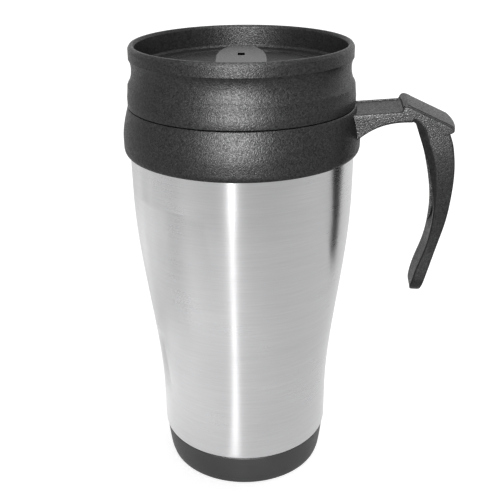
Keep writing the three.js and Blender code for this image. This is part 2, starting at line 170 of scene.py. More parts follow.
def mesh_object(name, vertices, faces):
    """A closed mesh in metres from points in millimetres, smooth except at its sharp edges."""
    mesh = bpy.data.meshes.new(name)
    mesh.from_pydata([Vector(v) * MM for v in vertices], [], faces)
    shape = bmesh.new()
    shape.from_mesh(mesh)
    bmesh.ops.remove_doubles(shape, verts=shape.verts, dist=1e-7)
    bmesh.ops.dissolve_degenerate(shape, edges=shape.edges, dist=1e-7)
    bmesh.ops.recalc_face_normals(shape, faces=shape.faces)
    shape.to_mesh(mesh)
    shape.free()
    smooth(mesh)
    piece = bpy.data.objects.new(name, mesh)
    bpy.context.scene.collection.objects.link(piece)
    return piece


def smooth(mesh):
    """Smooth shading, but not across the edges that stay sharp."""
    mesh.polygons.foreach_set("use_smooth", [True] * len(mesh.polygons))
    mesh.set_sharp_from_angle(angle=SHARP_ANGLE)


def turned(name, outline, around=AROUND):
    """A closed outline of (radius, height) points turned about +Z. Radius 0 closes on the axis."""
    vertices = []
    rings = []
    for radius, height in outline:
        count = 1 if radius < 1e-6 else around
        rings.append(range(len(vertices), len(vertices) + count))
        for i in range(count):
            angle = 2 * math.pi * i / around
            vertices.append((radius * math.cos(angle), radius * math.sin(angle), height))
    faces = []
    for lower, upper in zip(rings, rings[1:] + rings[:1]):
        if len(lower) == 1 and len(upper) == 1:
            continue
        for i in range(around):
            j = (i + 1) % around
            below = [lower[i % len(lower)], lower[j % len(lower)]]
            above = [upper[j % len(upper)], upper[i % len(upper)]]
            faces.append(list(dict.fromkeys(below + above)))
    return mesh_object(name, vertices, faces)


def lofted(name, rings):
    """A closed skin over rings with the same number of points, capped at both ends."""
    count = len(rings[0])
    vertices = [point for ring in rings for point in ring]
    faces = [list(range(count)), list(range(len(vertices) - count, len(vertices)))]
    for k in range(len(rings) - 1):
        for i in range(count):
            j = (i + 1) % count
            faces.append([k * count + i, k * count + j, (k + 1) * count + j, (k + 1) * count + i])
    return mesh_object(name, vertices, faces)


def slab(name, outline, low, high, edge, place, middle_steps=1):
    """An outline made solid from low to high, its rims rounded by edge. place puts (u, v, w) in space."""
    edge_steps = 4 if edge > 0 else 0
    rim = []
    for i in range(edge_steps + 1):
        turn = math.pi / 2 * i / max(1, edge_steps)
        rim.append((edge * (1 - math.cos(turn)), edge * (1 - math.sin(turn))))
    span = high - low - 2 * edge
    levels = [(low + w, inset) for w, inset in rim]
    levels += [(low + edge + span * i / middle_steps, 0) for i in range(1, middle_steps)]
    levels += [(high - w, inset) for w, inset in reversed(rim)]
    rings = [[place(u, v, w) for u, v in inset_outline(outline, inset)] for w, inset in levels]
    return lofted(name, rings)


def inset_outline(outline, inset):
    """The outline moved inwards by inset along its corners' bisectors."""
    area = sum(a[0] * b[1] - a[1] * b[0] for a, b in zip(outline, outline[1:] + outline[:1]))
    side = 1 if area > 0 else -1
    moved = []
    for i, point in enumerate(outline):
        back = (Vector(point) - Vector(outline[i - 1])).normalized()
        ahead = (Vector(outline[(i + 1) % len(outline)]) - Vector(point)).normalized()
        along_edge = (back + ahead).normalized()
        inwards = Vector((-along_edge.y, along_edge.x)) * side
        stretch = 1 / max(0.5, (1 + back.dot(ahead)) / 2) ** 0.5
        moved.append(tuple(Vector(point) + inwards * inset * stretch))
    return moved


def combined(target, operation, *tools):
    """target with the tools joined to it or cut from it. The tools are used up."""
    for tool in tools:
        modifier = target.modifiers.new(operation, "BOOLEAN")
        modifier.operation = operation
        modifier.solver = "MANIFOLD"
        modifier.object = tool
        evaluated = target.evaluated_get(bpy.context.evaluated_depsgraph_get())
        result = bpy.data.meshes.new_from_object(evaluated)
        target.modifiers.clear()
        target.data = result
        bpy.data.objects.remove(tool)
    smooth(target.data)
    return target


def upright(u, v, w):
    """Places a slab that lies flat."""
    return (u, v, w)


def block(name, low, high, edge=0.2):
    """A box between two corners."""
    outline = [(low[0], low[1]), (high[0], low[1]), (high[0], high[1]), (low[0], high[1])]
    return slab(name, outline, low[2], high[2], edge, upright)


def rounded_plate(half_x, low_y, high_y, radius):
    """A rectangle with round corners, centred on x = 0."""
    corners = [(-half_x, low_y), (half_x, low_y), (half_x, high_y), (-half_x, high_y)]
    return rounded([(*corner, radius) for corner in corners], 10)


def turn_with_lid(piece):
    """Turns a piece from the lid's own square position to where the closed lid stops."""
    piece.data.transform(Matrix.Rotation(LID_STOP, 4, "Z"))
    return piece


# ---------------------------------------------------------------- screw threads

THREAD_STARTS = 2
THREAD_SWEEP = math.radians(200)
FEMALE_START = LEDGE + 2.5
FEMALE_CREST = 38
MALE_START = LEDGE + 3.5
MALE_CREST = 38.75
THREAD_BITE = 0.5  # how deep a ridge is sunk into its wall


def ridge(root, crest, start_angle, start_height):
    """One thread ridge that climbs the wall it is sunk into, and fades at both ends."""
    steps = 72
    half_root, half_crest, fade = 1.1, 0.55, 0.12
    section = rounded([(0, -half_root), (1, -half_crest, 0.25), (1, half_crest, 0.25), (0, half_root)], 3)
    rings = []
    for i in range(steps + 1):
        share = i / steps
        ends = min(1, 0.25 + min(share, 1 - share) / fade)
        angle = start_angle + THREAD_SWEEP * share
        climb = start_height + THREAD_LEAD * THREAD_SWEEP * share / (2 * math.pi)
        ring = []
        for depth, height in section:
            radius = root + (crest - root) * depth * ends
            ring.append((radius * math.cos(angle), radius * math.sin(angle), climb + height))
        rings.append(ring)
    return lofted("ridge", rings)


def thread(root, crest, first_angle, start_height):
    """One ridge for each start, spaced evenly round."""
    turn = 2 * math.pi / THREAD_STARTS
    return [ridge(root, crest, first_angle + turn * start, start_height) for start in range(THREAD_STARTS)]


# ---------------------------------------------------------------- the steel shell

SHELL_WAIST = SHELL_SHOULDER - 7.6
FLARE_LOW = 32
FLARE_HIGH = 124
SHELL_WALL = 0.6


def shell_radius(height):
    """The tube is straight at both ends, and flares in one smooth sweep between them."""
    return between(SHELL_WAIST, SHELL_SHOULDER, eased((height - FLARE_LOW) / (FLARE_HIGH - FLARE_LOW)))


def outer_shell():
    """The flared tube, with its lower edge rolled in over the base."""
    roll = 2.2
    steps = 72
    first = SHELL_FOOT + roll
    heights = [first + (SHELL_TOP - first) * i / steps for i in range(steps + 1)]
    outside = [(shell_radius(z), z) for z in heights]
    inside = [(shell_radius(z) - SHELL_WALL, z) for z in reversed(heights)]
    lip = (SHELL_WAIST - 0.7, SHELL_FOOT)
    rolled = bezier((lip[0] - 0.05, first), (lip[0] - 0.05, SHELL_FOOT + 0.4), lip, lip, 4)
    corner = [(SHELL_WAIST - 0.3, SHELL_FOOT), (SHELL_WAIST, SHELL_FOOT + 0.7)]
    rolled += bezier(lip, *corner, outside[0], 12)[:-1]
    return turned("outer_shell_brushed", outside + inside + rolled)


def inner_liner():
    """The drinking vessel: a tapered cup that hangs from a flange, with a groove for its seal."""
    rim = LEDGE_FOOT - GAP
    foot = 6.5
    outline = [
        (0, foot),
        (30.6, foot, 2),
        (36.5, rim - 3.4, 0.8),
        (37, rim - 2, 0.5),
        (41.8, rim - 2, 0.4),
        (41.8, rim, 0.3),
        (39.5, rim, 0.15),
        (39.5, rim - 0.8, 0.15),
        (38.1, rim - 0.8, 0.15),
        (38.1, rim, 0.15),
        (LEDGE_BORE, rim, 0.6),
        (34.7, rim - 3.6, 1),
        (29.2, foot + 2, 3),
        (0, foot + 2),
    ]
    return turned("inner_liner_moulded", rounded(outline, 8))


# ---------------------------------------------------------------- the base


def base_cap():
    """The moulded base, narrower than the steel's edge, with a spigot that holds it in the shell."""
    shoulder = SHELL_FOOT - GAP
    spigot = 34.9
    outside = bezier((33.9, 1.6), (34.6, 5), (34.9, 9), (BASE_RADIUS, shoulder), 16)[:-1]
    outline = [
        (0, 2.1),
        (27.4, 2.1, 0.3),
        (27.4, BASE_FOOT, 0.3),
        (33.4, BASE_FOOT, 0.5),
        *outside,
        (BASE_RADIUS, shoulder, 0.35),
        (spigot, shoulder, 0.1),
        (spigot, 16.4, 0.2),
        (spigot - 0.9, 16.4, 0.2),
        (spigot - 0.9, 18.8, 0.2),
        (spigot, 18.8, 0.2),
        (spigot, BASE_TOP, 0.6),
        (33.2, BASE_TOP, 0.5),
        (32.6, 4.4, 1.2),
        (31.6, 3.4, 1),
        (0, 3.4),
    ]
    return turned("base_cap_moulded", rounded(outline, 6))


def base_pad():
    """The rubber foot, with three shallow grooves moulded in its face."""
    radius, _, top = extent("base_pad")
    groove, depth = 0.9, 0.5
    outline = [(0, 0)]
    for middle in (8, 15, 22):
        outline += [
            (middle - groove, 0, 0.2),
            (middle - groove / 2, depth, 0.2),
            (middle + groove / 2, depth, 0.2),
            (middle + groove, 0, 0.2),
        ]
    outline += [(radius - 0.4, 0, 0.4), (radius, 0.5, 0.4), (radius, top, 0.3), (0, top)]
    return turned("base_pad_ribbed", rounded(outline, 4))


def plain_seal(node, inner, fillet_radius):
    """A plain ring: the CAD node's own box with a bore, and its corners rounded."""
    outer, foot, top = extent(node)
    corners = [(inner, foot), (outer, foot), (outer, top), (inner, top)]
    return turned(node + "_ring", rounded([(*corner, fillet_radius) for corner in corners], 4))


# ---------------------------------------------------------------- the collar


def collar_outside(extra=0):
    """The barrel-shaped wall, from its lower edge to its top edge."""
    wall = bezier(
        (COLLAR_RADIUS, COLLAR_FOOT + 5.5),
        (COLLAR_RADIUS, COLLAR_FOOT + 9.5),
        (COLLAR_RADIUS - 1.2, COLLAR_FOOT + 13.6),
        (COLLAR_RADIUS - 2.3, SEAM - 0.2),
        24,
    )
    foot = bezier(
        (COLLAR_RADIUS - 1.75, COLLAR_FOOT),
        (COLLAR_RADIUS - 0.6, COLLAR_FOOT),
        (COLLAR_RADIUS, COLLAR_FOOT + 0.9),
        (COLLAR_RADIUS, COLLAR_FOOT + 2.6),
        12,
    )
    return [(radius + extra, height) for radius, height in foot + wall]


HOOK_Y = 4  # how far each hook stands from the handle's middle
HOOK_HALF = 1.7  # half a hook's width
HOOK_LOW = SEAM - 7.4
HOOK_HIGH = SEAM - 4.5
HOOK_TIP = 41.55  # distance of the hooks' tips from the mug's axis


def collar():
    """The grained ring: its mouth, the ledge under the lid's seal, the thread and the hook windows."""
    tongue = 41.2  # the shell's top edge fits between this radius and the pocket's
    pocket = 42.9
    pocket_top = LEDGE_FOOT + 7.3
    skirt = 43.9
    skirt_top = LEDGE_FOOT + 1.7
    inner = [
        (COLLAR_RADIUS - 2.5, SEAM, 0.1),
        (MOUTH + 0.6, SEAM, 0.3),
        (MOUTH, SEAM - 0.7, 0.5),
        (MOUTH, LEDGE, 0.4),
        (LEDGE_BORE, LEDGE, 0.4),
        (LEDGE_BORE, LEDGE_FOOT, 0.4),
        (tongue, LEDGE_FOOT, 0.2),
        (tongue, pocket_top, 0.3),
        (pocket, pocket_top, 0.3),
        (pocket, skirt_top, 0.2),
        (skirt, skirt_top, 0.2),
        (skirt, COLLAR_FOOT, 0.1),
    ]
    body = turned("collar_grained", rounded(collar_outside() + inner))
    combined(body, "UNION", *thread(MOUTH + THREAD_BITE, FEMALE_CREST, 0, FEMALE_START))
    windows = []
    for side in (-1, 1):
        reach = HOOK_HALF + GAP
        low = (41.7, side * HOOK_Y - reach, HOOK_LOW - GAP)
        high = (48, side * HOOK_Y + reach, HOOK_HIGH + GAP)
        windows.append(block("window", low, high, 0))
    return combined(body, "DIFFERENCE", *windows)


# ---------------------------------------------------------------- the handle

ARM_TOP = SEAM - 1.7
RAIL = 1.4  # width of the rails beside the thumb rest
WALL = 2.3  # thickness of the walls beside the channel
SEAT_DEPTH = 1.6
ARM_RECESS = 0.4
PAD_SLOPE = -0.45
PAD_CREST = (62.4, ARM_TOP + 3.6)
ARM_START = 36
ARM_END = 59.6
BEND = 64  # where the handle turns from arm to grip
SLOPE_END = 78.2
NOTCH = (77.9, ARM_TOP - 5.8)
TIP_RADIUS = 6.9
TIP_INSIDE = (4.0, 2.5)  # height and depth of the round edge at the tip, on the inner side
TIP_OUTSIDE = (1.8, 1.6)  # the same on the outer side
CHANNEL_START = 47  # distance from the mug's axis
CHANNEL_END = ARM_TOP - 46  # height
EDGE = 1.0  # radius of the handle's outer edges
NO_STEP = 0.01  # a hollow this deep doesn't show, but keeps every ring's points apart


def pad_line(x):
    """Height of the thumb rest's rails."""
    return PAD_CREST[1] + PAD_SLOPE * (x - PAD_CREST[0])


def arm_top(x):
    """Height of the arm's rails, which climb gently away from the collar."""
    return ARM_TOP - 0.2 + (x - 38) * 1.8 / (ARM_END - 38)


def seat(x):
    """Height of the floor between the rails, which is shallow on the arm and deep under the thumb rest."""
    on_arm = arm_top(x) - ARM_RECESS
    under_pad = pad_line(x) - SEAT_DEPTH
    return between(on_arm, under_pad, (x - ARM_END) / (PAD_CREST[0] - ARM_END))


def arm_underside(x):
    """The arm is deepest at the collar and thins in a curve towards the bend."""
    return ARM_TOP - 2.2 - 7.2 * max(0, (65.4 - x) / 21.1) ** 2.7


def recess_depth(outer, inner):
    """How far the floor between the rails lies under an outer point, towards its inner point."""
    if outer.y <= seat(outer.x):
        return NO_STEP
    near, far = 0.0, 1.0
    for _ in range(24):
        middle = (near + far) / 2
        spot = outer.lerp(inner, middle)
        near, far = (middle, far) if spot.y > seat(spot.x) else (near, middle)
    return max(NO_STEP, near * (outer - inner).length)


def channel_depth(outer, inner):
    """The channel leaves a skin, starts beside the collar and runs out down the grip."""
    skin = 2.7 + 1.6 * max(0, 1 - abs(inner.x - 66) / 8)
    start = between(0, 1, (inner.x - CHANNEL_START) / 3)
    end = between(0, 1, (inner.y - CHANNEL_END) / 14)
    full = (outer - inner).length - recess_depth(outer, inner) - skin
    return max(NO_STEP, full * start * math.sqrt(end))


def half_width(height):
    """The grip narrows below the bend, then keeps its width until the round tip."""
    width = between(HANDLE_HALF, TIP_RADIUS, eased((ARM_TOP - 10 - height) / 47))
    end = between(0, 1, (height - HANDLE_TIP) / TIP_RADIUS)
    return width * math.sqrt(1 - (1 - end) ** 2)


def inner_edge(height):
    """The bevel along the grip's inner edge, which runs out towards the tip, and its corner's radius.

    The corner is full and round at the top, and crisp further down.
    """
    bevel = between(2.7, 0.6, (ARM_TOP - 17 - height) / 21)
    corner = between(2.0, 0.3, (ARM_TOP - 9 - height) / 7)
    return bevel, corner


def handle_section(outer, inner):
    """A ring of points across the handle: the channel, the walls, the rails, and the floor between them.

    The two points without a radius keep the flat of the side flat beside its rounded edges.
    """
    depth = (outer - inner).length
    across = (outer - inner) / depth
    channel = channel_depth(outer, inner)
    floor_at = depth - recess_depth(outer, inner)
    bevel, corner_radius = inner_edge(inner.y) if inner.x > BEND else (0.6, 0.3)
    bevel = min(bevel, 0.3 * depth)
    corners = [
        (channel, WALL, min(0.8, channel / 2)),
        (0, WALL, 0.05),
        (0, 0.8 * bevel, 0.05),
        (bevel, 0, corner_radius),
        (min(bevel + 1.5 * corner_radius, 0.5 * depth), 0),
        (depth - min(2.2 * EDGE, 0.45 * depth), 0),
        (depth, 0, EDGE),
        (depth, RAIL, 0.3),
        (floor_at, RAIL, 0.2),
    ]
    path = [(channel, HANDLE_HALF)] + corners + [(floor_at, HANDLE_HALF)]
    side = [path[0]]
    for before, corner, after in zip(path, corners, path[2:]):
        if len(corner) == 2:
            side.append(corner)
        else:
            side += fillet(before[:2], corner[:2], after[:2], max(corner[2], NO_STEP))
    side.append(path[-1])
    near_side = []
    for travel, inset in side:
        spot = inner + across * travel
        half = half_width(spot.y)
        kept = half - inset * min(1, half / TIP_RADIUS)
        near_side.append((spot.x, -kept if inset < HANDLE_HALF else 0, spot.y))
    return near_side + [(x, -y, z) for x, y, z in reversed(near_side[1:-1])]


def drawn_in(outer, inner):
    """Draws a station's ends together just above the tip, so that the tip's edges are round."""
    height = max(0, outer.y - HANDLE_TIP)
    towards_inside = (inner - outer).normalized()

    def draw(reach, depth):
        share = max(0, 1 - height / reach)
        return depth * (1 - math.sqrt(1 - share**2))

    return outer + towards_inside * draw(*TIP_OUTSIDE), inner - towards_inside * draw(*TIP_INSIDE)


def paired(outer, inner, count, ease=False):
    """Stations along part of the handle, as outer and inner points. Eased ones crowd towards the end."""
    shares = [i / count for i in range(count)]
    if ease:
        shares = [math.sin(math.pi / 2 * share) for share in shares]
    return [(along(outer, share), along(inner, share)) for share in shares]


def cut_at(curve, share):
    """A polyline in two parts, cut at a share of its length."""
    points = [tuple(along(curve, share * i / 60)) for i in range(61)]
    rest = [tuple(along(curve, share + (1 - share) * i / 20)) for i in range(21)]
    return points, rest


def handle():
    """The arm and the grip as one skin over rings that follow it, with the hooks that hold it."""
    spread = [ARM_START + (ARM_END - ARM_START) * i / 24 for i in range(25)]
    arm = [(x, arm_top(x)) for x in spread]
    under = [(x, arm_underside(x)) for x in spread]
    crest = (BEND, pad_line(BEND))
    bump = [arm[-1]] + bezier(arm[-1], (60.8, ARM_TOP + 1.75), (59.5, ARM_TOP + 4.9), crest)
    under_bump = [(x, arm_underside(x)) for x in (ARM_END, 61, 62.5, BEND)]
    elbow_top = under_bump[-1]
    elbow = bezier(elbow_top, (65.6, ARM_TOP - 2.2), (66, ARM_TOP - 3.6), (67.4, ARM_TOP - 8))
    elbow.insert(0, elbow_top)
    slope_end = (SLOPE_END, pad_line(SLOPE_END))
    nose = [slope_end] + bezier(slope_end, (80.1, ARM_TOP - 4.4), (79.9, ARM_TOP - 6.2), NOTCH)
    below_elbow = (68.5, ARM_TOP - 10.8)
    outer_bends = [(79.8, -11.3), (81.1, -20), (81.2, -30), (80.2, -42), (77.2, -56)]
    inner_bends = [(71.6, -19.4), (74.2, -30.5), (75.1, -40), (73.9, -52), (70.3, -64.6)]
    outside = [NOTCH, *[(x, ARM_TOP + z) for x, z in outer_bends], (72.9, HANDLE_TIP)]
    inside = [below_elbow, *[(x, ARM_TOP + z) for x, z in inner_bends], (68.4, HANDLE_TIP)]
    outside = cut_at(spline(outside), 0.9)
    inside = cut_at(spline(inside), 0.9)
    stations = paired(arm, under, 30)
    stations += paired(bump, under_bump, 20)
    stations += paired([crest, slope_end], elbow, 30)
    stations += paired(nose, [elbow[-1], below_elbow], 16)
    stations += paired(outside[0], inside[0], 80)
    stations += [drawn_in(*pair) for pair in paired(outside[1], inside[1], 28, True)]
    body = lofted("handle_grained", [handle_section(*station) for station in stations])
    bore = turned("collar_cut", collar_outside(0.06) + [(0, SEAM), (0, COLLAR_FOOT)])
    combined(body, "DIFFERENCE", bore)
    hooks = []
    for side in (-1, 1):
        low_y = side * HOOK_Y - HOOK_HALF
        high_y = side * HOOK_Y + HOOK_HALF
        tip = (HOOK_TIP, low_y, HOOK_LOW)
        hooks.append(block("stem", tip, (46.5, high_y, HOOK_HIGH), 0.15))
        hooks.append(block("barb", tip, (42.2, high_y, HOOK_HIGH + 0.9), 0.1))
    return combined(body, "UNION", *hooks)


def thumb_rest():
    """The pad let in between the handle's rails, with soft edges and a nose that bows out in plan."""
    clearance = GAP / 2
    half = HANDLE_HALF - RAIL - clearance
    proud = 0.25
    bow = 0.9
    bow_start = 70
    nose = 79.9

    def foot_line(x):
        return pad_line(x) - SEAT_DEPTH + clearance

    low_corner = (78.6, foot_line(78.6))
    high_corner = (78.2, pad_line(78.2) + proud)
    front = (60.5, ARM_TOP + 2.7)
    crest = (64.4, pad_line(64.4) + proud)
    outline = [(60.5, ARM_TOP + 1.55), (62.6, foot_line(62.6)), low_corner]
    outline += bezier(low_corner, (80.1, foot_line(80.1)), (80.0, pad_line(79.8)), high_corner, 12)
    outline += [crest] + bezier(crest, (62.2, ARM_TOP + 4.3), (60.5, ARM_TOP + 4.3), front, 12)

    def bowed(u, v, w):
        share = between(0, 1, (u - bow_start) / (nose - bow_start))
        return (u + bow * share**2 * (1 - (w / half) ** 2), w, v)

    return slab("thumb_rest_grained", outline, -half, half, 0.4, bowed, middle_steps=24)


# ---------------------------------------------------------------- the lid


def lid_body():
    """The lid: a waisted side and sunken deck, over a hollow plug with the thread."""
    skirt_top = LID_SEAT + 8.2
    band_foot = RIM - 4.9
    band = LID_RADIUS - 1.3
    groove = bezier(
        (LID_RADIUS - 0.55, skirt_top),
        (band - 1, skirt_top + 1.8),
        (band - 1.4, band_foot - 2),
        (band, band_foot),
        22,
    )
    outline = [
        (0, DECK),
        (28.9, DECK, 0.2),
        (29.1, DECK + 0.6, 0.25),
        (29.9, DECK + 0.6, 0.25),
        (30.1, DECK, 0.2),
        (33.2, DECK, 0.1),
        (33.35, DECK + 0.15, 0.1),
        (38.5, DECK + 0.15, 0.2),
        (39.2, DECK + 0.9, 0.5),
        (39.6, RIM - 0.9, 0.8),
        (40.3, RIM, 0.5),
        (41.3, RIM, 0.8),
        (band - 0.05, RIM - 1.2, 0.6),
        *reversed(groove),
        (LID_RADIUS - 0.45, skirt_top - 0.5, 0.4),
        (LID_RADIUS - 0.1, LID_SEAT + 3.8),
        (LID_RADIUS - 0.02, LID_SEAT + 3.6),
        (LID_RADIUS, LID_SEAT, 0.35),
        (41.2, LID_SEAT, 0.3),
        (40.9, LID_SEAT + 7.4, 1),
        (39.2, LID_SEAT + 10.2, 0.6),
        (38.9, LID_SEAT + 11.1, 0.3),
        (PLUG, LID_SEAT + 11.1, 0.5),
        (PLUG, PLUG_FOOT, 0.3),
        (36.8, PLUG_FOOT, 0.1),
        (36.8, PLUG_FOOT + 1.5, 0.1),
        (35.9, PLUG_FOOT + 1.5, 0.1),
        (35.9, PLUG_FOOT, 0.1),
        (35.2, PLUG_FOOT, 0.1),
        (35.2, DECK_FOOT, 0.8),
        (0, DECK_FOOT),
    ]
    body = turned("lid_body_grained", rounded(outline))
    half_pitch = THREAD_LEAD / THREAD_STARTS / 2
    behind = (MALE_START + half_pitch - FEMALE_START) / THREAD_LEAD * 2 * math.pi - LID_STOP
    combined(body, "UNION", *thread(PLUG - THREAD_BITE, MALE_CREST, behind, MALE_START))
    drink = slab("drink", rounded_plate(7, -31.5, -26.5, 2.45), DECK_FOOT - 1, DECK + 2, 0, upright)
    vent = slab("vent", rounded_plate(1.2, 18.8, 21.2, 1.19), DECK_FOOT - 1, DECK + 2, 0, upright)
    slot = block("slot", (-3.3, -16.3, DECK_FOOT - 1), (3.3, 4.3, DECK + 2), 0)
    return turn_with_lid(combined(body, "DIFFERENCE", drink, vent, slot))


def lid_gasket():
    """The flat ring under the plug, with a rib that holds it in the plug's groove."""
    foot = LEDGE + GAP
    outline = [
        (35.2, foot, 0.3),
        (37.6, foot, 0.5),
        (37.6, foot + 1.7, 0.3),
        (36.6, foot + 1.7),
        (36.6, foot + 2.9, 0.15),
        (36.1, foot + 2.9, 0.15),
        (36.1, foot + 1.7),
        (35.2, foot + 1.7, 0.2),
    ]
    return turned("lid_gasket_ring", rounded(outline, 4))


# ---------------------------------------------------------------- the drink closure

SLIDER_FOOT = DECK + 0.6 + GAP
SLIDER_TOP = SLIDER_FOOT + 1.8
SLIDER_HALF = 9.7
SLIDER_LOW = -35.2
SLIDER_HIGH = 24.5
RETAINER_TOP = DECK_FOOT - 1.4
RETAINER_FOOT = RETAINER_TOP - 1.6


def slider_outline():
    """Seen from above: a plate with a round front end, and a back end that narrows in a long curve."""
    back = bezier((SLIDER_HALF, 3), (SLIDER_HALF, 14), (7, SLIDER_HIGH), (4.4, SLIDER_HIGH), 14)
    right = [(SLIDER_HALF, SLIDER_LOW, 9), (SLIDER_HALF, 3), *back]
    left = [(-SLIDER_HALF, SLIDER_LOW, 9), (-SLIDER_HALF, 3), *[(-x, y) for x, y in back]]
    return rounded([*right, *reversed(left)], 10)


def slider():
    """The sliding plate with its grip bars, its vent, and the neck and barb that the retainer snaps on."""
    plate = slab("slider_smooth", slider_outline(), SLIDER_FOOT, SLIDER_TOP, 0.5, upright)
    neck = block("neck", (-3, -16, RETAINER_FOOT - 1.3), (3, -8, SLIDER_FOOT + 0.5), 0.15)
    barb = block("barb", (-4, -16, RETAINER_FOOT - 1.3), (4, -8, RETAINER_FOOT - 0.3), 0.2)
    grips = []
    for y in (-20, -17.5, -15):
        bar = rounded_plate(6, y - 0.5, y + 0.5, 0.45)
        grips.append(slab("grip", bar, SLIDER_TOP - 0.3, SLIDER_TOP + 0.8, 0.25, upright))
    combined(plate, "UNION", neck, barb, *grips)
    wide = [(x, y, DECK) for x, y in rounded_plate(4, 1, 15, 0.5)]
    narrow = [(x, y, SLIDER_TOP + 0.05) for x, y in rounded_plate(1.3, 5.6, 10.4, 0.5)]
    return turn_with_lid(combined(plate, "DIFFERENCE", lofted("vent", [wide, narrow])))


def slider_retainer():
    """The plate under the deck, with a socket for the slider's neck."""
    outline = rounded_plate(8.5, -33, -4, 3)
    plate = slab("slider_retainer_plate", outline, RETAINER_FOOT, RETAINER_TOP, 0.3, upright)
    socket = block("socket", (-3.3, -16.3, RETAINER_FOOT - 2), (3.3, -7.7, RETAINER_TOP + 2), 0)
    return turn_with_lid(combined(plate, "DIFFERENCE", socket))


def slider_seal():
    """The soft pad that closes the drink hole from below."""
    pad = rounded_plate(8.5, -33, -25, 3)
    return turn_with_lid(slab("slider_seal_pad", pad, RETAINER_TOP + 0.1, DECK_FOOT - 0.1, 0.3, upright))


# ---------------------------------------------------------------- materials


class Nodes:
    """A node tree, with short calls for the nodes used here."""

    def __init__(self, tree):
        self.tree = tree

    def add(self, kind, **inputs):
        node = self.tree.nodes.new(kind)
        for key, value in inputs.items():
            self.feed(node, key.replace("_", " "), value)
        return node

    def feed(self, node, key, value):
        """Sets an input to a value, or links it to another node's output."""
        if isinstance(value, bpy.types.NodeSocket):
            self.tree.links.new(value, node.inputs[key])
        else:
            node.inputs[key].default_value = value

    def output(self, kind, name):
        """An output of a new node that needs no inputs."""
        return self.tree.nodes.new(kind).outputs[name]

    def math(self, operation, a, b=0.0):
        node = self.tree.nodes.new("ShaderNodeMath")
        node.operation = operation
        self.feed(node, 0, a)
        self.feed(node, 1, b)
        return node.outputs[0]

    def place(self):
        """Position on the piece, in metres."""
        return self.output("ShaderNodeTexCoord", "Object")

    def noise(self, vector, period, detail=3, roughness=0.55):
        """Noise whose lumps are about period metres across."""
        node = self.add("ShaderNodeTexNoise", Vector=vector, Scale=1 / period)
        self.feed(node, "Detail", detail)
        self.feed(node, "Roughness", roughness)
        return node.outputs["Fac"]

    def spread(self, value, low, high, start=0.3, end=0.7, curve="LINEAR"):
        """Value from start to end as low to high."""
        node = self.tree.nodes.new("ShaderNodeMapRange")
        node.interpolation_type = curve
        for key, number in zip(("From Min", "From Max", "To Min", "To Max"), (start, end, low, high)):
            node.inputs[key].default_value = number
        self.feed(node, "Value", value)
        return node.outputs["Result"]

    def grey(self, share, dark, light):
        """A colour between two greys."""
        node = self.tree.nodes.new("ShaderNodeMix")
        node.data_type = "RGBA"
        self.feed(node, "Factor", share)
        node.inputs["A"].default_value = (*dark, 1)
        node.inputs["B"].default_value = (*light, 1)
        return node.outputs["Result"]

    def bump(self, height, distance):
        """A normal for relief whose height is in metres."""
        return self.add("ShaderNodeBump", Height=height, Distance=distance).outputs["Normal"]


class Surface(Nodes):
    """The node tree of a new material."""

    def __init__(self, name):
        self.material = bpy.data.materials.new(name)
        self.material.use_nodes = True
        super().__init__(self.material.node_tree)

    def finish(self, **inputs):
        """Sets the shader's inputs, and gives the material."""
        for key, value in inputs.items():
            self.feed(self.tree.nodes["Principled BSDF"], key.replace("_", " "), value)
        return self.material


def shade(level, tint=0.0):
    """A near-neutral grey."""
    return (level, level, level * (1 + tint))


def grained_plastic():
    """Moulded polypropylene with a spark-eroded grain: each grain is a low dome with a gloss of its own."""
    nodes = Surface("grained_plastic")
    place = nodes.place()
    grain_size = 0.00045
    grain_height = 0.00006
    grains = nodes.add("ShaderNodeTexVoronoi", Vector=place, Scale=1 / grain_size)
    each = nodes.add("ShaderNodeSeparateColor", Color=grains.outputs["Color"])
    cloud = nodes.noise(place, 0.012, 3)
    colour = nodes.grey(each.outputs["Green"], shade(0.004, 0.03), shade(0.010, 0.02))
    rough = nodes.spread(each.outputs["Blue"], 0.3, 0.5, 0, 1)
    dome = nodes.math("SUBTRACT", 1.0, grains.outputs["Distance"])
    return nodes.finish(
        Base_Color=colour,
        Roughness=nodes.math("ADD", rough, nodes.spread(cloud, -0.02, 0.02)),
        Specular_IOR_Level=nodes.spread(each.outputs["Red"], 0.13, 0.27, 0, 1),
        Normal=nodes.bump(dome, grain_height),
    )


def smooth_plastic(name, dark, light, rough):
    """Satin moulding with faint flow clouds and fine handling marks."""
    nodes = Surface(name)
    place = nodes.place()
    cloud = nodes.noise(place, 0.015, 4)
    fine = nodes.noise(place, 0.0006, 3)
    colour = nodes.grey(nodes.spread(cloud, 0, 1), dark, light)
    marks = nodes.spread(fine, rough - 0.05, rough + 0.05)
    return nodes.finish(
        Base_Color=colour,
        Roughness=nodes.math("ADD", marks, nodes.spread(cloud, -0.03, 0.03)),
        Normal=nodes.bump(fine, 0.000015),
    )


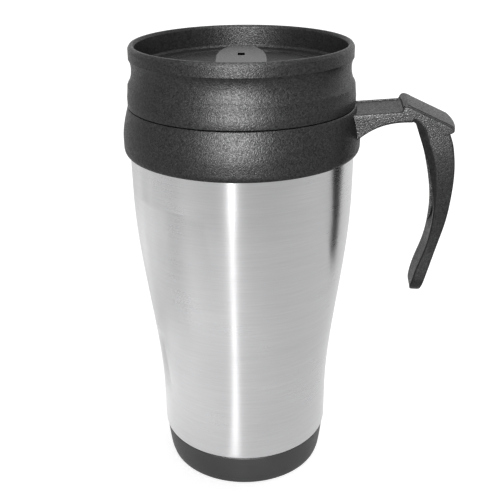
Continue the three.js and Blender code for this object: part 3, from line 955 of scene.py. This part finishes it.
def brushed_steel():
    """Satin steel brushed round the body: long streaks along the circumference, with faint smudges."""
    nodes = Surface("brushed_steel")
    place = nodes.place()
    parts = nodes.add("ShaderNodeSeparateXYZ", Vector=place)
    angle = nodes.math("ARCTAN2", parts.outputs["Y"], parts.outputs["X"])
    small_circle = 0.0012  # the body's girth is wound onto a circle this small, which draws the noise out
    wrapped = nodes.add(
        "ShaderNodeCombineXYZ",
        X=nodes.math("MULTIPLY", nodes.math("COSINE", angle), small_circle),
        Y=nodes.math("MULTIPLY", nodes.math("SINE", angle), small_circle),
        Z=parts.outputs["Z"],
    )
    fine = nodes.noise(wrapped.outputs["Vector"], 0.0004, 2, 0.6)
    broad = nodes.noise(wrapped.outputs["Vector"], 0.0016, 3, 0.6)
    smudge = nodes.noise(place, 0.03, 2, 0.5)
    streaks = nodes.math("ADD", nodes.math("MULTIPLY", fine, 0.65), nodes.math("MULTIPLY", broad, 0.35))
    colour = nodes.grey(nodes.spread(streaks, 0, 1, 0.35, 0.65), shade(0.5, 0.012), shade(0.54, 0.012))
    rough = nodes.math("ADD", nodes.spread(streaks, 0.275, 0.3), nodes.spread(smudge, -0.02, 0.03))
    tangent = nodes.tree.nodes.new("ShaderNodeTangent")
    tangent.direction_type = "RADIAL"
    tangent.axis = "Z"
    return nodes.finish(
        Base_Color=colour,
        Metallic=1.0,
        Roughness=rough,
        Anisotropic=0.85,
        Anisotropic_Rotation=0.25,
        Tangent=tangent.outputs["Tangent"],
    )


def silicone():
    """Cloudy grey silicone, matt and slightly see-through at its edges."""
    nodes = Surface("silicone")
    place = nodes.place()
    cloud = nodes.noise(place, 0.004, 3)
    colour = nodes.grey(nodes.spread(cloud, 0, 1), shade(0.40), shade(0.52))
    return nodes.finish(
        Base_Color=colour,
        Roughness=nodes.spread(cloud, 0.5, 0.62),
        Subsurface_Weight=0.2,
        Subsurface_Scale=0.001,
        Normal=nodes.bump(nodes.noise(place, 0.0009), 0.00002),
    )


def rubber():
    """Matt black rubber with a little dust on it."""
    nodes = Surface("foot_rubber")
    place = nodes.place()
    fine = nodes.noise(place, 0.0007, 4, 0.65)
    dust = nodes.noise(place, 0.009, 4)
    colour = nodes.grey(nodes.spread(dust, 0, 1, 0.4, 0.8), shade(0.016), shade(0.04))
    rough = nodes.spread(fine, 0.75, 0.9)
    return nodes.finish(Base_Color=colour, Roughness=rough, Normal=nodes.bump(fine, 0.00005))


# ---------------------------------------------------------------- assembly


def place_piece(piece, node, body, material):
    """Puts a finished piece in place of its CAD node."""
    piece.data.materials.clear()
    piece.data.materials.append(material)
    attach(piece, body)
    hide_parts(node)


grained = grained_plastic()
steel = brushed_steel()
base_plastic = smooth_plastic("smooth_plastic", shade(0.009, 0.03), shade(0.013, 0.03), 0.42)
slider_plastic = smooth_plastic("slider_plastic", shade(0.014, 0.02), shade(0.018, 0.02), 0.42)
liner_plastic = smooth_plastic("liner_plastic", shade(0.012), shade(0.018), 0.25)
seal = silicone()
foot = rubber()

shell = outer_shell()
place_piece(shell, "outer_shell", "mug", steel)
place_piece(inner_liner(), "inner_liner", "mug", liner_plastic)
place_piece(collar(), "collar", "mug", grained)
place_piece(base_cap(), "base_cap", "mug", base_plastic)
place_piece(base_pad(), "base_pad", "mug", foot)
for node, bore, corner in (("collar_seal", 42.2, 0.3), ("liner_seal", 38.3, 0.25), ("base_seal", 34.2, 0.35)):
    place_piece(plain_seal(node, bore, corner), node, "mug", seal)
grip = handle()
pad = thumb_rest()
place_piece(grip, "handle", "mug", grained)
place_piece(pad, "thumb_rest", "mug", grained)
place_piece(lid_body(), "lid_body", "lid", grained)
gasket = lid_gasket()
place_piece(gasket, "lid_gasket", "gasket", seal)
place_piece(slider(), "slider", "closure", slider_plastic)
place_piece(slider_retainer(), "slider_retainer", "closure", liner_plastic)
stopper = slider_seal()
place_piece(stopper, "slider_seal", "closure", seal)

# ---------------------------------------------------------------- floor, light and camera


def floor():
    """A wide pale floor, a little brighter to the camera so that it runs into the white backdrop."""
    nodes = Surface("studio_floor")
    cloud = nodes.noise(nodes.place(), 0.8, 2)
    colour = nodes.grey(nodes.spread(cloud, 0, 1), shade(0.54), shade(0.56))
    seen = nodes.output("ShaderNodeLightPath", "Is Camera Ray")
    material = nodes.finish(
        Base_Color=colour,
        Roughness=0.9,
        Specular_IOR_Level=0.1,
        Emission_Color=(1, 1, 1, 1),
        Emission_Strength=nodes.math("ADD", nodes.math("MULTIPLY", seen, 0.2), 0.42),
    )
    half = 6000
    corners = [(-half, -half, 0), (half, -half, 0), (half, half, 0), (-half, half, 0)]
    sheet = mesh_object("studio_floor", corners, [(0, 1, 2, 3)])
    sheet.data.materials.append(material)
    return sheet


def softbox(name, azimuth, distance, height, size, strength, aim_height=0.09):
    """A rectangular light that faces the mug. Azimuth is from -Y towards +X, in degrees."""
    light = bpy.data.lights.new(name, "AREA")
    light.shape = "RECTANGLE"
    light.size, light.size_y = size
    light.energy = strength * math.pi * size[0] * size[1]
    lamp = bpy.data.objects.new(name, light)
    turn = math.radians(azimuth)
    lamp.location = (distance * math.sin(turn), -distance * math.cos(turn), height)
    aim = Vector((0, 0, aim_height)) - lamp.location
    lamp.rotation_mode = "QUATERNION"
    lamp.rotation_quaternion = aim.to_track_quat("-Z", "Y")
    bpy.context.scene.collection.objects.link(lamp)
    return lamp


def lights_only(lamp, pieces, state):
    """Makes a lamp light nothing but some pieces (INCLUDE), or everything but them (EXCLUDE)."""
    receivers = bpy.data.collections.new(lamp.name + "_receivers")
    for piece in pieces:
        receivers.objects.link(piece)
    for member in receivers.collection_objects:
        member.light_linking.link_state = state
    lamp.light_linking.receiver_collection = receivers


def floor_lamp(name, azimuth, distance, size, strength):
    """A light that lies on the floor, faces up and fades towards its edges. The camera doesn't see it."""
    lamp = softbox(name, azimuth, distance, 0.001, size, strength)
    turn = Matrix.Rotation(math.radians(azimuth), 3, "Z") @ Matrix.Rotation(math.pi, 3, "X")
    lamp.rotation_quaternion = turn.to_quaternion()
    lamp.visible_camera = False
    lamp.data.use_nodes = True
    nodes = Nodes(lamp.data.node_tree)
    across = nodes.add("ShaderNodeSeparateXYZ", Vector=nodes.output("ShaderNodeNewGeometry", "Parametric"))
    waves = [nodes.math("SINE", nodes.math("MULTIPLY", across.outputs[axis], math.pi)) for axis in "XY"]
    nodes.feed(nodes.tree.nodes["Emission"], "Strength", nodes.math("MULTIPLY", *waves))
    return lamp


def backdrop():
    """White to the camera. As light it is strong from behind the mug and weak from the camera's side."""
    world = bpy.data.worlds.new("studio")
    world.use_nodes = True
    nodes = Nodes(world.node_tree)
    towards_back = nodes.tree.nodes.new("ShaderNodeVectorMath")
    towards_back.operation = "DOT_PRODUCT"
    nodes.feed(towards_back, 0, nodes.output("ShaderNodeTexCoord", "Generated"))
    nodes.feed(towards_back, 1, (0.25, 0.97, 0))
    level = nodes.spread(towards_back.outputs["Value"], 0.2, 0.95, -1, 0.8, "SMOOTHSTEP")
    seen = nodes.output("ShaderNodeLightPath", "Is Camera Ray")
    background = nodes.tree.nodes["Background"]
    nodes.feed(background, "Strength", nodes.math("MAXIMUM", level, seen))
    nodes.feed(background, "Color", (1, 1, 1, 1))
    bpy.context.scene.world = world


def studio(shell, grip, seals, sheet):
    """The lamps. The steel, the grained plastics and the handle each have a key light of their own."""
    strip = softbox("steel_strip", -4, 0.6, 0.2, (0.05, 0.8), 7.5, 0)
    lights_only(strip, [shell], "INCLUDE")
    key = softbox("grain_key", 0, 0.5, 0.33, (0.32, 0.6), 25.5)
    lights_only(key, [shell, sheet, *grip, *seals], "EXCLUDE")
    top = softbox("edge_light", 10, 0.05, 0.75, (0.3, 0.3), 11)
    lights_only(top, [shell, sheet, *seals], "EXCLUDE")
    arm_key = softbox("arm_key", 4, 0.5, 0.3, (0.12, 0.5), 68)
    lights_only(arm_key, grip, "INCLUDE")
    for name, azimuth, distance, size, strength in (
        ("floor_strip", -4, 0.25, (0.014, 0.44), 2.9),
        ("floor_glow", 0, 0.02, (0.8, 0.8), 0.05),
        ("floor_glow_left", -85, 0.25, (0.7, 0.7), 0.5),
    ):
        lights_only(floor_lamp(name, azimuth, distance, size, strength), [shell], "INCLUDE")
    softbox("right_box", 130, 0.8, 0.35, (0.5, 0.9), 0.5)


def camera():
    """Looks down on the mug from a little to the handle's side, close enough for strong perspective."""
    azimuth = LID_STOP
    distance = 0.30798
    height = 0.23043
    pitch = math.radians(26.627)
    yaw = math.radians(0.085)
    roll = math.radians(-0.573)
    lens_share = 1.6059  # focal length over the image's width
    facing = Matrix.Rotation(azimuth - yaw, 3, "Z")
    ahead = facing @ Vector((0, math.cos(pitch), -math.sin(pitch)))
    level = facing @ Vector((1, 0, 0))
    above = level.cross(ahead)
    right = math.cos(roll) * level + math.sin(roll) * above
    up = right.cross(ahead)
    data = bpy.data.cameras.new("camera")
    data.lens = lens_share * data.sensor_width
    data.shift_x = 0.0104
    data.shift_y = 0.0835
    data.clip_start = 0.01
    viewer = bpy.data.objects.new("camera", data)
    turned_basis = Matrix((right, up, -ahead)).transposed().to_4x4()
    place = Vector((distance * math.sin(azimuth), -distance * math.cos(azimuth), height))
    viewer.matrix_world = Matrix.Translation(place) @ turned_basis
    bpy.context.scene.collection.objects.link(viewer)
    bpy.context.scene.camera = viewer


backdrop()
studio(shell, [grip, pad], [gasket, stopper], floor())
camera()
bpy.context.scene.view_settings.view_transform = "Standard"
bpy.context.scene.view_settings.look = "Medium High Contrast"
